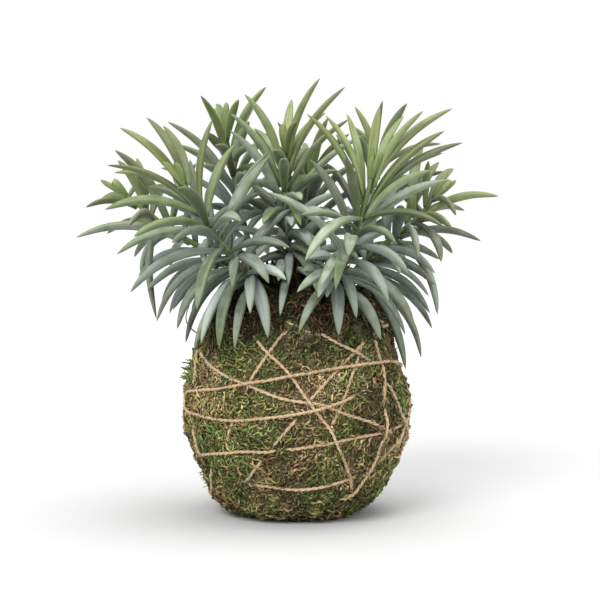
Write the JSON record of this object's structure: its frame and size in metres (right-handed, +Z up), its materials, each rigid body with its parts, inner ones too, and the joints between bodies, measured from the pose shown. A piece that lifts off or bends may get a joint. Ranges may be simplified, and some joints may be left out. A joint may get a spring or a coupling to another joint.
{
  "type": "kokedama moss ball plant",
  "caption": "Leafy house plant growing from a root ball wrapped in sheet moss and wound with jute twine, standing on a small flat spot.",
  "frame": {"origin": "centre of the flat spot under the moss ball, on the surface it stands on", "axes": "+Z up through the ball to the crown, -Y to the front, +X to the viewer's right"},
  "size_m": [0.2103, 0.1639, 0.2173],
  "materials": {
    "moss": "matte",
    "soil": "matte",
    "twine": "matte",
    "stem": "matte",
    "leaf": "satin"
  },
  "bodies": {
    "root": {"back_leaves_1": "leaf", "back_leaves_2": "leaf", "back_leaves_3": "leaf", "back_leaves_4": "leaf", "back_leaves_5": "leaf", "back_leaves_6": "leaf", "back_left_leaves_1": "leaf", "back_left_leaves_2": "leaf", "back_left_leaves_3": "leaf", "back_left_leaves_4": "leaf", "back_left_leaves_5": "leaf", "back_left_leaves_6": "leaf", "back_left_stem": "stem", "back_right_leaves_1": "leaf", "back_right_leaves_2": "leaf", "back_right_leaves_3": "leaf", "back_right_leaves_4": "leaf", "back_right_leaves_5": "leaf", "back_right_leaves_6": "leaf", "back_right_stem": "stem", "back_stem": "stem", "centre_leaves_1": "leaf", "centre_leaves_2": "leaf", "centre_leaves_3": "leaf", "centre_leaves_4": "leaf", "centre_leaves_5": "leaf", "centre_leaves_6": "leaf", "centre_stem": "stem", "far_left_leaves_1": "leaf", "far_left_leaves_2": "leaf", "far_left_leaves_3": "leaf", "far_left_leaves_4": "leaf", "far_left_leaves_5": "leaf", "far_left_leaves_6": "leaf", "far_left_stem": "stem", "far_right_leaves_1": "leaf", "far_right_leaves_2": "leaf", "far_right_leaves_3": "leaf", "far_right_leaves_4": "leaf", "far_right_leaves_5": "leaf", "far_right_leaves_6": "leaf", "far_right_stem": "stem", "front_left_leaves_1": "leaf", "front_left_leaves_2": "leaf", "front_left_leaves_3": "leaf", "front_left_leaves_4": "leaf", "front_left_leaves_5": "leaf", "front_left_leaves_6": "leaf", "front_left_stem": "stem", "front_right_leaves_1": "leaf", "front_right_leaves_2": "leaf", "front_right_leaves_3": "leaf", "front_right_leaves_4": "leaf", "front_right_leaves_5": "leaf", "front_right_leaves_6": "leaf", "front_right_stem": "stem", "jute_twine": "twine", "moss_wrap": "moss", "root_ball": "soil"}
  },
  "joints": []
}
